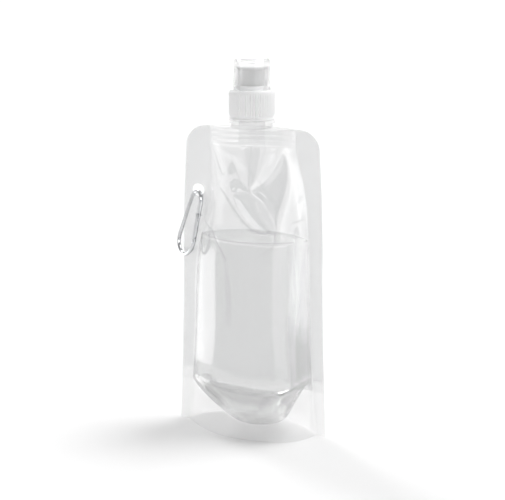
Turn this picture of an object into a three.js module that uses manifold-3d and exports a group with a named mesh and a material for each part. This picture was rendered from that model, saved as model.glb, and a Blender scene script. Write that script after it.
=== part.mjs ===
// A folding water bottle: a clear film pouch with a bottom gusset, a moulded spout in its top edge, a ribbed
// screw cap with a push-pull nozzle and a clear dust cap, and a small carabiner hung in a punched hole.
// Millimetres. The origin is on the floor under the middle of the pouch, +Z is up and the front faces -Y.
import * as THREE from "three";
import { mergeVertices } from "three/addons/utils/BufferGeometryUtils.js";
import Module from "manifold-3d";

const wasm = await Module();
wasm.setup();

// ---------- driving dimensions ----------
const POUCH_TOP = 221.5;
const CORNER_RADIUS = 14;
const FILM = 0.4; // thicker than real film, so that it is a solid
const FILM_MIDDLE = 0.75; // from the middle plane to the middle of a film in a side seal
const GUSSET_INSET = 0.63; // from the middle of a film to the middle of the gusset welded inside it
const HOLE = { x: -40.9, z: 174.8, radius: 4.6 };

const BOAT = { halfLength: 31, halfWidth: 10.6, bottom: 209.2, top: 221.6, ribs: 4, rib: 1.4 };
const BORE_RADIUS = 9.2;
const NECK = { radius: 14.5, bottom: 222, top: 225 };
const FLANGE = { radius: 16.1, top: 227.2 };
const FINISH = { radius: 12.6, top: 243.4 }; // the threaded tube that the cap screws onto
const THREAD = { pitch: 4.2, turns: 1.5, height: 0.9, root: 2, crest: 1, start: 230.6 };

const CAP = { radius: 15.5, rib: 0.4, ribs: 56, bottom: 228, top: 248, inner: 14.1, underside: 245.2 };
const SEAT_RING = { radius: 11.8, inner: 10.7, top: 251.3 };
const CHIMNEY = { radius: 8.15, inner: 6.3, top: 261.2 };
const PLUG = { radius: 2.6, bottom: 247, top: 265.4 };
const LINER = { inner: 9.7, outer: 13.5, bottom: 243.7, top: 244.9 };
const NOZZLE = { radius: 9.8, inner: 8.45, foot: 10.2, bottom: 248.4, shoulder: 10.7, top: 266, mouth: 2.95 };
const DUST_CAP = { radius: 13, inner: 12.1, lip: 13.9, bottom: 248.3, top: 270, ceiling: 268.9 };

const ROD = 1.55; // radius of the carabiner's bar
const TOP_BEND = 7.2; // centreline radius of the narrow end
const BOTTOM_BEND = 11;
const BEND_SPACING = 28.2; // between the centres of the two bends
const GATE = { latch: 15.4, hinge: 33.2, radius: 1.25, tongue: 1.1 };
const CREST = new THREE.Vector3(-40.9, 0.1, 173.3); // where the bar passes through the hole

const ROUND = 40; // segments round the spout and caps

// ---------- solids ----------
function solidFrom(positions, triangles) {
  const make = (faces) =>
    new wasm.Manifold(
      new wasm.Mesh({
        numProp: 3,
        vertProperties: new Float32Array(positions),
        triVerts: new Uint32Array(faces),
      }),
    );
  const made = make(triangles);
  if (made.volume() > 0) return made;
  return make(triangles.slice().reverse());
}

// A three.js geometry as a solid.
function solid(geometry) {
  geometry.deleteAttribute("normal");
  geometry.deleteAttribute("uv");
  const merged = mergeVertices(geometry, 1e-4);
  const triangles = [];
  for (let i = 0; i < merged.index.count; i += 3) {
    const face = [0, 1, 2].map((k) => merged.index.getX(i + k));
    if (new Set(face).size === 3) triangles.push(...face);
  }
  return solidFrom(merged.attributes.position.array, triangles);
}

// A solid of revolution about +Z from [radius, z] points. The outline closes on itself.
function turned(outline, segments = ROUND) {
  const points = [...outline, outline[0]].map(([r, z]) => new THREE.Vector2(r, z));
  return solid(new THREE.LatheGeometry(points, segments).rotateX(Math.PI / 2));
}

const tube = (outer, inner, bottom, top, segments) =>
  turned([[outer, bottom], [outer, top], [inner, top], [inner, bottom]], segments);
const disc = (radius, bottom, top, segments) =>
  turned([[0, bottom], [radius, bottom], [radius, top], [0, top]], segments);

// A plan outline of [x, y] points, extruded from one height to another.
function plate(outline, bottom, top) {
  const shape = new THREE.Shape(outline.map(([x, y]) => new THREE.Vector2(x, y)));
  const geometry = new THREE.ExtrudeGeometry(shape, { depth: top - bottom, bevelEnabled: false });
  return solid(geometry.translate(0, 0, bottom));
}

// A solid through a row of rings with equal numbers of points, with flat ends.
function loft(rings) {
  const n = rings[0].length;
  const triangles = [];
  for (let i = 0; i + 1 < rings.length; i++) {
    for (let j = 0; j < n; j++) {
      const a = i * n + j;
      const b = i * n + ((j + 1) % n);
      triangles.push(a, b, b + n, a, b + n, a + n);
    }
  }
  const last = (rings.length - 1) * n;
  for (let j = 1; j + 1 < n; j++) {
    triangles.push(0, j + 1, j, last, last + j, last + j + 1);
  }
  return solidFrom(rings.flat().flatMap((p) => [p.x, p.y, p.z]), triangles);
}

// A straight round pin between two points.
function pin(from, to, radius, segments = 12) {
  const along = to.clone().sub(from).normalize();
  const side = new THREE.Vector3(0, 0, 1).cross(along).normalize();
  const other = along.clone().cross(side);
  return loft([from, to].map((end) => ringAt(end, side, other, radius, segments)));
}

function ringAt(centre, side, other, radius, segments) {
  return Array.from({ length: segments }, (_, k) => {
    const turn = (2 * Math.PI * (k + 0.5)) / segments;
    return centre
      .clone()
      .addScaledVector(side, radius * Math.cos(turn))
      .addScaledVector(other, radius * Math.sin(turn));
  });
}

const join = (...solids) => solids.reduce((a, b) => a.add(b));

const group = new THREE.Group();
function part(name, made, color, roughness = 0.4, metalness = 0, opacity = 1) {
  const { numProp, vertProperties, triVerts, numVert } = made.getMesh();
  const positions = new Float32Array(numVert * 3);
  for (let i = 0; i < numVert; i++) {
    positions.set(vertProperties.subarray(i * numProp, i * numProp + 3), i * 3);
  }
  const geometry = new THREE.BufferGeometry()
    .setAttribute("position", new THREE.BufferAttribute(positions, 3))
    .setIndex(new THREE.BufferAttribute(triVerts, 1));
  const material = new THREE.MeshStandardMaterial({ color, roughness, metalness });
  material.opacity = opacity;
  material.transparent = opacity < 1;
  const mesh = new THREE.Mesh(geometry, material);
  mesh.name = name;
  group.add(mesh);
}

// ---------- the pouch ----------
// A smooth curve through [position, value] points.
function through(points) {
  const slope = (i) => {
    const a = points[Math.max(i - 1, 0)];
    const b = points[Math.min(i + 1, points.length - 1)];
    return (b[1] - a[1]) / (b[0] - a[0]);
  };
  return (at) => {
    const end = points.length - 1;
    if (at <= points[0][0]) return points[0][1];
    if (at >= points[end][0]) return points[end][1];
    const i = points.findIndex((p) => p[0] > at) - 1;
    const [[x0, y0], [x1, y1]] = [points[i], points[i + 1]];
    const step = x1 - x0;
    const t = (at - x0) / step;
    const s = 1 - t;
    const bend = t * s * (s * slope(i) - t * slope(i + 1)) * step;
    return y0 * s * s * (1 + 2 * t) + y1 * t * t * (3 - 2 * t) + bend;
  };
}

const sideEdge = through([[0, 57], [20, 55.8], [60, 54.1], [110, 52.9], [140, 52.6], [175, 51.5], [222, 48.8]]);
const deepest = through([[0, 27.3], [40, 26.3], [90, 24.3], [143, 20.6], [180, 14.4], [204, 10.9], [222, 10.6]]);
// The side edges of the open part: nearly the pouch's own at the bottom, only the boat's length at the top.
// On the left the weld is wider, round the punched hole.
const openRight = through([[0, 49], [60, 45], [140, 42.7], [178, 39.5], [200, 34], [212, 32.6], [222, 32.6]]);
const openLeft = through([[0, 49], [60, 45], [122, 42.7], [143, 39], [163, 32.4], [180, 31.8], [222, 31.8]]);
// The pouch is a little skewed low down: the front bulges most to the right, the back most to the left.
const peak = through([[0, 7.5], [100, 3], [150, 0], [222, 0]]);

function halfWidth(z) {
  const up = z - (POUCH_TOP - CORNER_RADIUS);
  const inset = up > 0 ? CORNER_RADIUS - Math.sqrt(Math.max(CORNER_RADIUS ** 2 - up ** 2, 0)) : 0;
  return sideEdge(z) - inset;
}

function bulge(x, z, side) {
  const middle = -side * peak(z);
  const edge = x > middle ? openRight(z) : -openLeft(z);
  const share = (x - middle) / (edge - middle);
  const low = THREE.MathUtils.smoothstep(150 - z, 0, 150);
  const steep = (x - middle) * middle > 0;
  const squareness = steep ? 2 + low : 2;
  const fullness = steep ? 0.9 - 0.2 * low : 0.9 + 0.1 * low;
  return deepest(z) * Math.max(1 - share ** squareness, 0) ** fullness;
}

// The side seals lean a little where the pouch is skewed.
const lean = (x, z) => 1.5 * Math.sin((Math.PI * x) / 57) * THREE.MathUtils.smoothstep(120 - z, 0, 120);

// A point of a film, at a distance outwards from the film's own middle. front is -1, back is 1.
function filmPoint(x, z, side, outwards = 0) {
  const y = (u, v) => side * (FILM_MIDDLE + bulge(u, v, side)) + lean(u, v);
  const step = 0.05;
  const slopeX = (y(x + step, z) - y(x - step, z)) / (2 * step);
  const slopeZ = (y(x, z + step) - y(x, z - step)) / (2 * step);
  const normal = new THREE.Vector3(-slopeX, 1, -slopeZ).normalize().multiplyScalar(side);
  return new THREE.Vector3(x, y(x, z), z).addScaledVector(normal, outwards);
}

// A thin panel: at(across, up, offset) gives the surface at a distance from the panel's middle.
function panel(at, acrossSteps, upSteps, thickness) {
  const points = [];
  for (const offset of [-thickness / 2, thickness / 2]) {
    for (const up of upSteps) {
      for (const across of acrossSteps) points.push(at(across, up, offset));
    }
  }
  const columns = acrossSteps.length;
  const rows = upSteps.length;
  const layer = columns * rows;
  const triangles = [];
  const quad = (a, b, c, d) => triangles.push(a, b, c, a, c, d);
  for (let r = 0; r + 1 < rows; r++) {
    for (let c = 0; c + 1 < columns; c++) {
      const a = r * columns + c;
      quad(a, a + 1, a + 1 + columns, a + columns);
      quad(layer + a, layer + a + columns, layer + a + columns + 1, layer + a + 1);
    }
  }
  for (let c = 0; c + 1 < columns; c++) {
    const top = (rows - 1) * columns + c;
    quad(c, layer + c, layer + c + 1, c + 1);
    quad(top, top + 1, layer + top + 1, layer + top);
  }
  for (let r = 0; r + 1 < rows; r++) {
    const left = r * columns;
    const right = left + columns - 1;
    quad(left, left + columns, layer + left + columns, layer + left);
    quad(right, layer + right, layer + right + columns, right + columns);
  }
  return solidFrom(points.flatMap((p) => [p.x, p.y, p.z]), triangles);
}

const steps = (count, from = 0, to = 1) =>
  Array.from({ length: count + 1 }, (_, i) => from + ((to - from) * i) / count);

// Columns crowd towards the side seals, rows towards the rounded corners.
const ACROSS = steps(24, -1).map((s) => 0.75 * s + 0.25 * Math.sin((Math.PI * s) / 2));
const UP = [...steps(14, 0, 184), 192, 200, 205, 209, 213, 216.5, 219, 220.7, POUCH_TOP];

function film(side) {
  const at = (across, z, offset) => filmPoint(across * halfWidth(z), z, side, offset);
  const punch = disc(HOLE.radius, -6, 6, 24).rotate([90, 0, 0]).translate([HOLE.x, 0, HOLE.z]);
  return panel(at, ACROSS, UP, FILM).subtract(punch);
}

// The gusset is a tent: each wall is welded inside its film up to a slanting line, then leans to a fold.
const foldHeight = through([[-44, 33.3], [-9, 30.1], [18, 28.9], [30, 33.5], [43, 41.5], [57, 42]]);
const weldHeight = through([[-46, 32], [-22, 23.5], [1, 13.6], [16, 12.5], [32, 17], [39, 29], [45, 40.2]]);

function gussetWall(side) {
  const WELDED = 0.45; // share of the rows that are in the welded part
  const at = (across, up, offset) => {
    const mirrored = -side * across * 57;
    const fold = side < 0 ? foldHeight(mirrored) : foldHeight(-mirrored);
    const weld = Math.min(weldHeight(mirrored), fold - 1.2);
    if (up <= WELDED) {
      const z = (weld * up) / WELDED;
      return filmPoint(across * (halfWidth(z) - 0.2), z, side, offset - GUSSET_INSET);
    }
    const share = (up - WELDED) / (1 - WELDED);
    const x = across * (halfWidth(weld) - 0.2);
    const foot = filmPoint(x, weld, side, -GUSSET_INSET);
    const ridge = new THREE.Vector3(x, lean(x, fold) - side * 0.02, fold);
    const rise = ridge.z - foot.z;
    const run = ridge.y - foot.y;
    const leaning = new THREE.Vector3(0, side * rise, -side * run).normalize();
    const point = foot.lerp(ridge, share);
    point.z -= 1.6 * Math.sin(Math.PI * share) * Math.min(Math.abs(foot.y - ridge.y) / 20, 1);
    return point.addScaledVector(leaning, offset);
  };
  return panel(at, ACROSS, [0, 0.15, 0.3, 0.45, 0.6, 0.75, 0.9, 1], FILM);
}

// ---------- the spout fitment ----------
// The boat's plan is two arcs that meet in a point at each end.
function boatPlan(halfLength, halfWidth) {
  const half = steps(16, -1).map((s) => [s * halfLength, halfWidth * (1 - s * s) ** 0.85]);
  return [...half, ...half.slice(1, -1).reverse().map(([x, y]) => [x, -y])];
}

// A helical ridge with a tapered section, root to crest, that fades out at both ends.
function helix(rootRadius, crestRadius, start) {
  const STEPS = Math.round(THREAD.turns * 24);
  const rings = steps(STEPS).map((t) => {
    const turn = t * THREAD.turns * 2 * Math.PI;
    const z = start + t * THREAD.turns * THREAD.pitch;
    const grown = Math.min(1, (STEPS * Math.min(t, 1 - t)) / 3 + 0.15);
    const crest = rootRadius + (crestRadius - rootRadius) * grown;
    const at = (r, dz) => new THREE.Vector3(r * Math.cos(turn), r * Math.sin(turn), z + dz);
    const [wide, narrow] = [THREAD.root / 2, THREAD.crest / 2];
    return [at(rootRadius, -wide), at(crest, -narrow), at(crest, narrow), at(rootRadius, wide)];
  });
  return loft(rings);
}

function spoutFitment() {
  const { bottom, top, rib, ribs, halfLength, halfWidth } = BOAT;
  const core = plate(boatPlan(halfLength - 1.5, halfWidth - 1.1), bottom + 0.1, top - 0.1);
  const spacing = (top - bottom - rib) / (ribs - 1);
  const blades = Array.from({ length: ribs }, (_, i) =>
    plate(boatPlan(halfLength, halfWidth), bottom + i * spacing, bottom + i * spacing + rib),
  );
  const stem = turned([
    [0, top - 0.5],
    [halfWidth - 0.8, top - 0.5],
    [halfWidth - 0.8, NECK.bottom],
    [NECK.radius, NECK.bottom],
    [NECK.radius, NECK.top],
    [FLANGE.radius, NECK.top + 0.4],
    [FLANGE.radius, FLANGE.top],
    [FINISH.radius, FLANGE.top + 0.3],
    [FINISH.radius, FINISH.top - 0.5],
    [FINISH.radius - 0.5, FINISH.top],
    [0, FINISH.top],
  ]);
  const thread = helix(FINISH.radius - 0.3, FINISH.radius + THREAD.height, THREAD.start);
  const bore = disc(BORE_RADIUS, bottom - 5, FINISH.top + 5);
  return join(core, ...blades, stem, thread).subtract(bore);
}

// ---------- the screw cap ----------
function screwCap() {
  const { radius, rib, ribs, bottom, top, inner, underside } = CAP;
  const grip = Array.from({ length: 4 * ribs }, (_, k) => {
    const turn = (2 * Math.PI * (k + 0.5)) / (4 * ribs);
    const r = radius + (k % 4 < 2 ? rib : 0);
    return [r * Math.cos(turn), r * Math.sin(turn)];
  });
  const shell = turned([
    [0, bottom],
    [radius + rib + 0.15, bottom],
    [radius + rib + 0.15, bottom + 1.1],
    [radius, bottom + 1.6],
    [radius, top - 0.9],
    [radius - 0.6, top],
    [0, top],
  ]);
  const body = join(shell, plate(grip, bottom + 0.6, top - 1.1)).subtract(disc(inner, bottom - 1, underside));
  const seat = tube(SEAT_RING.radius, SEAT_RING.inner, top - 0.5, SEAT_RING.top);
  const chimney = tube(CHIMNEY.radius, CHIMNEY.inner, underside, CHIMNEY.top);
  const thread = helix(inner + 0.3, FINISH.radius + 0.4, THREAD.start + THREAD.pitch / 2);
  const bored = body.subtract(disc(CHIMNEY.inner, underside - 1, top + 1));
  const plug = turned([
    [0, PLUG.bottom],
    [PLUG.radius, PLUG.bottom],
    [PLUG.radius, PLUG.top - 0.6],
    [PLUG.radius - 0.6, PLUG.top],
    [0, PLUG.top],
  ], 20);
  const spokes = [0, 120, 240].map((turn) =>
    plate([[1, -0.6], [CHIMNEY.inner + 0.6, -0.6], [CHIMNEY.inner + 0.6, 0.6], [1, 0.6]], 248, 256)
      .rotate([0, 0, turn]),
  );
  return join(bored, seat, chimney, thread, plug, ...spokes);
}

function nozzle() {
  const { radius, inner, foot, bottom, shoulder, top, mouth } = NOZZLE;
  return turned([
    [foot, bottom],
    [foot, bottom + 1.2],
    [radius, bottom + 1.6],
    [radius - 0.2, top - 4.2],
    [shoulder, top - 3.2],
    [shoulder, top - 1.9],
    [shoulder - 0.6, top - 1.4],
    [6.6, top],
    [mouth, top],
    [mouth, top - 2.4],
    [inner - 1.2, top - 2.8],
    [inner, top - 3.8],
    [inner, bottom],
  ]);
}

function dustCap() {
  const { radius, inner, lip, bottom, top, ceiling } = DUST_CAP;
  return turned([
    [inner, bottom],
    [lip, bottom],
    [lip, bottom + 0.7],
    [radius + 0.1, bottom + 1.8],
    [radius - 0.15, top - 1.4],
    [radius - 0.6, top - 0.4],
    [radius - 1.5, top],
    [0, top],
    [0, ceiling],
    [inner - 1.2, ceiling],
    [inner - 0.2, ceiling - 0.9],
  ]);
}

// ---------- the carabiner ----------
// Its plane runs through the hole, gate leg in front of the film and spine behind it, and leans forwards.
const ACROSS_IT = new THREE.Vector3(1, -0.8, 0).normalize();
const NORMAL = new THREE.Vector3(0.8, 1, -0.315).normalize();
const UP_IT = ACROSS_IT.clone().cross(NORMAL);

// A point in the carabiner's plane, u across it and v up it from the crest, lifted off the plane by w.
const onPlane = (u, v, w = 0) =>
  CREST.clone().addScaledVector(ACROSS_IT, u).addScaledVector(UP_IT, v).addScaledVector(NORMAL, w);

const TAPER = Math.asin((BOTTOM_BEND - TOP_BEND) / BEND_SPACING);
const LEAN = THREE.MathUtils.degToRad(5); // the long axis against the plane's own up direction
// The same, with u and v along the carabiner's own axes.
function onBody(u, v, w = 0) {
  return onPlane(u * Math.cos(LEAN) + v * Math.sin(LEAN), v * Math.cos(LEAN) - u * Math.sin(LEAN), w);
}

// A round bar along [u, v] points of the carabiner's plane.
function bar(path, radius, segments = 10) {
  const rings = path.map(([u, v], i) => {
    const [au, av] = path[Math.max(i - 1, 0)];
    const [bu, bv] = path[Math.min(i + 1, path.length - 1)];
    const length = Math.hypot(bu - au, bv - av);
    const side = onBody(-(bv - av) / length, (bu - au) / length).sub(CREST);
    return ringAt(onBody(u, v), side, NORMAL, radius, segments);
  });
  return loft(rings);
}

// A flat cheek or tongue: an outline in the carabiner's plane between two distances off it.
function blade(outline, from, to) {
  return loft([from, to].map((w) => outline.map(([u, v]) => onBody(u, v, w))));
}

const arc = (cu, cv, radius, from, to, count) =>
  steps(count, from, to).map((turn) => [cu + radius * Math.cos(turn), cv + radius * Math.sin(turn)]);

// A point on the gate leg, a distance down from the crest, and one beside it.
function onLeg(down, inwards = 0) {
  const v = -down;
  const tangent = (v + TOP_BEND - TOP_BEND * Math.sin(TAPER)) / -Math.cos(TAPER);
  const u = TOP_BEND * Math.cos(TAPER) + tangent * Math.sin(TAPER);
  return [u - inwards * Math.cos(TAPER), v + inwards * Math.sin(TAPER)];
}

function slab(top, bottom, halfWidth, inwards, from, to) {
  const outline = [
    onLeg(top, inwards - halfWidth),
    onLeg(top, inwards + halfWidth),
    onLeg(bottom, inwards + halfWidth),
    onLeg(bottom, inwards - halfWidth),
  ];
  return blade(outline, from, to);
}

const across = (down, inwards, reach) => {
  const [u, v] = onLeg(down, inwards);
  return [onBody(u, v, -reach), onBody(u, v, reach)];
};

const LATCH_AT = [GATE.latch, 0.35];
const HINGE_AT = [GATE.hinge, 0.3];

function carabinerBody() {
  const lower = -TOP_BEND - BEND_SPACING;
  const spineTurn = Math.PI + TAPER;
  const path = [
    onLeg(GATE.latch - 1.6),
    ...arc(0, -TOP_BEND, TOP_BEND, TAPER, Math.PI - TAPER, 12),
    ...arc(0, lower, BOTTOM_BEND, Math.PI - TAPER, 2 * Math.PI + TAPER - 0.13, 18),
  ];
  const nose = slab(GATE.latch - 3, GATE.latch + 3.2, 1.45, -0.15, -GATE.tongue / 2, GATE.tongue / 2);
  const heel = slab(GATE.hinge - 1.7, GATE.hinge + 3.6, 1.35, 0.25, -GATE.tongue / 2, GATE.tongue / 2);
  const notch = slab(GATE.latch - 0.85, GATE.latch + 0.85, 1.6, LATCH_AT[1] + 0.9, -3, 3);
  const pinHole = pin(...across(...HINGE_AT, 3), 0.75);
  return join(bar(path, ROD), nose, heel).subtract(notch).subtract(pinHole);
}

function carabinerGate() {
  const [latchDown, latchIn] = LATCH_AT;
  const [hingeDown, hingeIn] = HINGE_AT;
  const start = onLeg(latchDown - 1.3, latchIn);
  const end = onLeg(hingeDown + 1.7, hingeIn);
  const stem = bar([start, end], GATE.radius + 0.35);
  const gap = GATE.tongue / 2 + 0.3;
  const noseSlot = slab(latchDown - 4, latchDown + 4.2, 3, 0, -gap, gap);
  const heelSlot = slab(hingeDown - 2.7, hingeDown + 5, 3, 0, -gap, gap);
  const springBore = bar([onLeg(hingeDown - 10, hingeIn), onLeg(hingeDown, hingeIn)], 0.8);
  const latchHole = pin(...across(...LATCH_AT, 3), 0.75);
  const hingeHole = pin(...across(...HINGE_AT, 3), 0.75);
  return stem
    .subtract(noseSlot)
    .subtract(heelSlot)
    .subtract(springBore)
    .subtract(latchHole)
    .subtract(hingeHole);
}

function gateSpring() {
  const [hingeDown, hingeIn] = HINGE_AT;
  const COILS = 4;
  const rings = steps(COILS * 8).map((t) => {
    const turn = 2 * Math.PI * COILS * t;
    const [u, v] = onLeg(hingeDown - 9.4 + 4.2 * t, hingeIn + 0.5 * Math.cos(turn));
    const centre = onBody(u, v, 0.5 * Math.sin(turn));
    const middle = onBody(...onLeg(hingeDown - 9.4 + 4.2 * t, hingeIn));
    const side = centre.clone().sub(middle).normalize();
    return ringAt(centre, side, onBody(0, 1).sub(CREST), 0.13, 4);
  });
  return loft(rings);
}

function gatePlunger() {
  const [hingeDown, hingeIn] = HINGE_AT;
  return bar([onLeg(hingeDown - 4.9, hingeIn), onLeg(hingeDown - 2.7, hingeIn)], 0.55, 8);
}

part("front_film", film(-1), "#e3e6e8", 0.15, 0, 0.45);
part("rear_film", film(1), "#e3e6e8", 0.15, 0, 0.45);
part("bottom_gusset", join(gussetWall(-1), gussetWall(1)), "#dfe3e6", 0.15, 0, 0.45);
part("spout_fitment", spoutFitment(), "#eef0f0", 0.35, 0, 0.8);
part("cap_liner", tube(LINER.outer, LINER.inner, LINER.bottom, LINER.top, 32), "#dcdcd8", 0.7);
part("screw_cap", screwCap(), "#f4f5f5", 0.4);
part("push_pull_nozzle", nozzle(), "#eceeee", 0.35);
part("dust_cap", dustCap(), "#f2f5f7", 0.05, 0, 0.3);
part("carabiner_body", carabinerBody(), "#c9ccd0", 0.2, 1);
part("carabiner_gate", carabinerGate(), "#d2d4d8", 0.2, 1);
part("gate_latch_pin", pin(...across(...LATCH_AT, 2.6), 0.62), "#b9bcc0", 0.25, 1);
part("gate_hinge_pin", pin(...across(...HINGE_AT, 1.75), 0.62), "#b9bcc0", 0.25, 1);
part("gate_spring", gateSpring(), "#9ea1a5", 0.35, 1);
part("gate_plunger", gatePlunger(), "#a8abb0", 0.3, 1);

export default group;
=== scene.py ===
"""A folding water bottle: the looks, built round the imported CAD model.

Everything is in the CAD's own frame. Shapes are worked out in millimetres, as in the CAD source,
and turned into metres where a mesh is made.
"""

import math

import bmesh
import bpy
import numpy as np
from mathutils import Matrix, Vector


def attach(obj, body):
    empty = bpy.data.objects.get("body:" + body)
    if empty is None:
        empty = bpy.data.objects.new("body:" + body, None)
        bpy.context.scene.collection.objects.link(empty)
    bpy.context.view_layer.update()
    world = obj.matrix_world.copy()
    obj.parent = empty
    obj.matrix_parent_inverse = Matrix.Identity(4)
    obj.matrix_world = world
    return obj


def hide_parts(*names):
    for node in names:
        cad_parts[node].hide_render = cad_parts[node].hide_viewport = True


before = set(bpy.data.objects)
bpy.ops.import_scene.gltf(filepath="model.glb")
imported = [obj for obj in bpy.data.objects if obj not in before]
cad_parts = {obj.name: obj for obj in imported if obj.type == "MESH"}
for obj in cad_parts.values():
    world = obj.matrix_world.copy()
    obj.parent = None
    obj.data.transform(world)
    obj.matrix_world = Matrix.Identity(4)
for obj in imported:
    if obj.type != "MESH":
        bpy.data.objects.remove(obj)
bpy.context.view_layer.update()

MM = 0.001
FRONT, REAR = -1, 1

# ---------- dimensions shared with the CAD source, in millimetres ----------
POUCH_TOP = 221.5
CORNER_RADIUS = 14
FILM_MIDDLE = 0.75
GUSSET_INSET = 0.63
HOLE = (-40.9, 174.8, 4.6)  # x, z and radius
WATER_LEVEL = 143.0

CAP_RADIUS = 15.5
CAP_FLARE = 0.55
CAP_INNER = 14.1
CAP_BOTTOM = 228.0
CAP_TOP = 248.0
CAP_UNDERSIDE = 245.2
SEAT_RING = (10.7, 11.8, 251.3)  # inner radius, outer radius and top
CHIMNEY = (6.3, 8.15, 261.2)  # the same
PLUG = (2.6, 247.0, 265.4)  # radius, bottom and top
SPOKE = (248.0, 256.0)  # bottom and top
NOZZLE_BOTTOM = 248.4
NOZZLE_TOP = 266.0
NOZZLE_SHOULDER = 10.7
NOZZLE_INNER = 8.45
NOZZLE_MOUTH = 2.95
DUST_CAP_BOTTOM = 248.3
DUST_CAP_TOP = 270.0
DUST_CAP_CEILING = 268.9
DUST_CAP_INNER = 12.1
DUST_CAP_LIP = 13.9
THREAD_PITCH = 4.2
THREAD_TURNS = 1.5

# ---------- dimensions of the looks ----------
FILM_COLUMNS = 150
FILM_ROWS = 300
PINCH = (3.9, 178.5)  # where the creases of the front film meet
GUSSET_WELDED = 0.45  # how much of a gusset wall's mesh lies in the welded band
WATER_CREEP = 1.1  # how far the water climbs the film at its edge
WATER_GAP = 0.35  # between the water and the film
WATER_SHARE = 0.985  # of the open width, across
CAP_RIBS = 56
CAP_RIB_HEIGHT = 0.6


# ---------- camera ----------
def direction(azimuth, elevation):
    """From the object towards a viewer; azimuth 0 is in front, and turns towards +X."""
    a, e = math.radians(azimuth), math.radians(elevation)
    return Vector((math.sin(a) * math.cos(e), -math.cos(a) * math.cos(e), math.sin(e)))


def make_camera():
    """A long lens from the right of the front and a little above."""
    target = Vector((0.42, 0.16, 133.7)) * MM
    distance = 0.9127
    back = direction(20.7, 13.65)
    data = bpy.data.cameras.new("camera")
    data.lens = 91.25
    data.sensor_width = 36
    data.clip_start = 0.05
    data.clip_end = 200
    camera = bpy.data.objects.new("camera", data)
    bpy.context.scene.collection.objects.link(camera)
    camera.location = target + back * distance
    camera.rotation_mode = "QUATERNION"
    camera.rotation_quaternion = (-back).to_track_quat("-Z", "Y")
    bpy.context.scene.camera = camera


# ---------- mesh helpers ----------
def add_mesh(name, points, faces, material, smooth_angle=40):
    """A mesh object from points in millimetres."""
    mesh = bpy.data.meshes.new(name)
    mesh.from_pydata([tuple(float(c) * MM for c in p) for p in points], [], faces)
    mesh.validate()
    mesh.polygons.foreach_set("use_smooth", [True] * len(mesh.polygons))
    if smooth_angle < 180:
        mesh.set_sharp_from_angle(angle=math.radians(smooth_angle))
    mesh.materials.append(material)
    made = bpy.data.objects.new(name, mesh)
    bpy.context.scene.collection.objects.link(made)
    return made


def outward(made):
    """Turns every face of a closed mesh outwards."""
    bm = bmesh.new()
    bm.from_mesh(made.data)
    bmesh.ops.recalc_face_normals(bm, faces=bm.faces)
    bm.to_mesh(made.data)
    bm.free()


def grid_faces(rows, columns, around=False):
    """Quads over rows x columns points, joined round the columns if asked."""
    faces = []
    for r in range(rows - 1):
        for c in range(columns if around else columns - 1):
            d = (c + 1) % columns
            faces.append((r * columns + c, r * columns + d, (r + 1) * columns + d, (r + 1) * columns + c))
    return faces


def attribute(made, name, values):
    made_attribute = made.data.attributes.new(name, "FLOAT", "POINT")
    made_attribute.data.foreach_set("value", np.asarray(values, np.float32).ravel())


# ---------- shape of the pouch ----------
def through(*points):
    """A smooth curve through (position, value) points, as a function of an array."""
    at = np.array([p[0] for p in points], float)
    value = np.array([p[1] for p in points], float)
    before = np.r_[0, np.arange(len(at) - 1)]
    after = np.r_[np.arange(1, len(at)), len(at) - 1]
    slope = (value[after] - value[before]) / (at[after] - at[before])

    def curve(x):
        x = np.clip(np.asarray(x, float), at[0], at[-1])
        i = np.clip(np.searchsorted(at, x, side="right") - 1, 0, len(at) - 2)
        step = at[i + 1] - at[i]
        t = (x - at[i]) / step
        s = 1 - t
        bend = t * s * (s * slope[i] - t * slope[i + 1]) * step
        return value[i] * s * s * (1 + 2 * t) + value[i + 1] * t * t * (3 - 2 * t) + bend

    return curve


side_edge = through((0, 57), (20, 55.8), (60, 54.1), (110, 52.9), (140, 52.6), (175, 51.5), (222, 48.8))
deepest = through((0, 27.3), (40, 26.3), (90, 24.3), (143, 20.6), (180, 14.4), (204, 10.9), (222, 10.6))
open_right = through((0, 49), (60, 45), (140, 42.7), (178, 39.5), (200, 34), (212, 32.6), (222, 32.6))
open_left = through((0, 49), (60, 45), (122, 42.7), (143, 39), (163, 32.4), (180, 31.8), (222, 31.8))
peak = through((0, 7.5), (100, 3), (150, 0), (222, 0))
fold_height = through((-44, 33.3), (-9, 30.1), (18, 28.9), (30, 33.5), (43, 41.5), (57, 42))
weld_height = through(
    (-46, 32), (-22, 23.5), (1, 13.6), (16, 12.5), (32, 17), (39, 29), (45, 40.2)
)


def smoothstep(x, low, high):
    t = np.clip((np.asarray(x, float) - low) / (high - low), 0, 1)
    return t * t * (3 - 2 * t)


def half_width(z):
    """From the middle to the pouch's edge, with its rounded top corners."""
    up = np.clip(np.asarray(z, float) - (POUCH_TOP - CORNER_RADIUS), 0, CORNER_RADIUS)
    return side_edge(z) - (CORNER_RADIUS - np.sqrt(CORNER_RADIUS**2 - up**2))


def open_share(x, z, side):
    """How far a point is from the line of deepest bulge (0) to the edge of the open part (1)."""
    middle = -side * peak(z)
    edge = np.where(x > middle, open_right(z), -open_left(z))
    return (x - middle) / (edge - middle)


def bulge(x, z, side):
    """How far a film stands out; towards the foot its steeper half grows squarer."""
    share = open_share(x, z, side)
    low = smoothstep(150 - z, 0, 150)
    steep = (x + side * peak(z)) * -side > 0
    squareness = np.where(steep, 2 + low, 2)
    fullness = np.where(steep, 0.9 - 0.2 * low, 0.9 + 0.1 * low)
    return deepest(z) * np.clip(1 - share**squareness, 0, None) ** fullness


def lean(x, z):
    """How far both films sway to the front on one side and to the rear on the other."""
    return 1.5 * np.sin(np.pi * x / 57) * smoothstep(120 - z, 0, 120)


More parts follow.
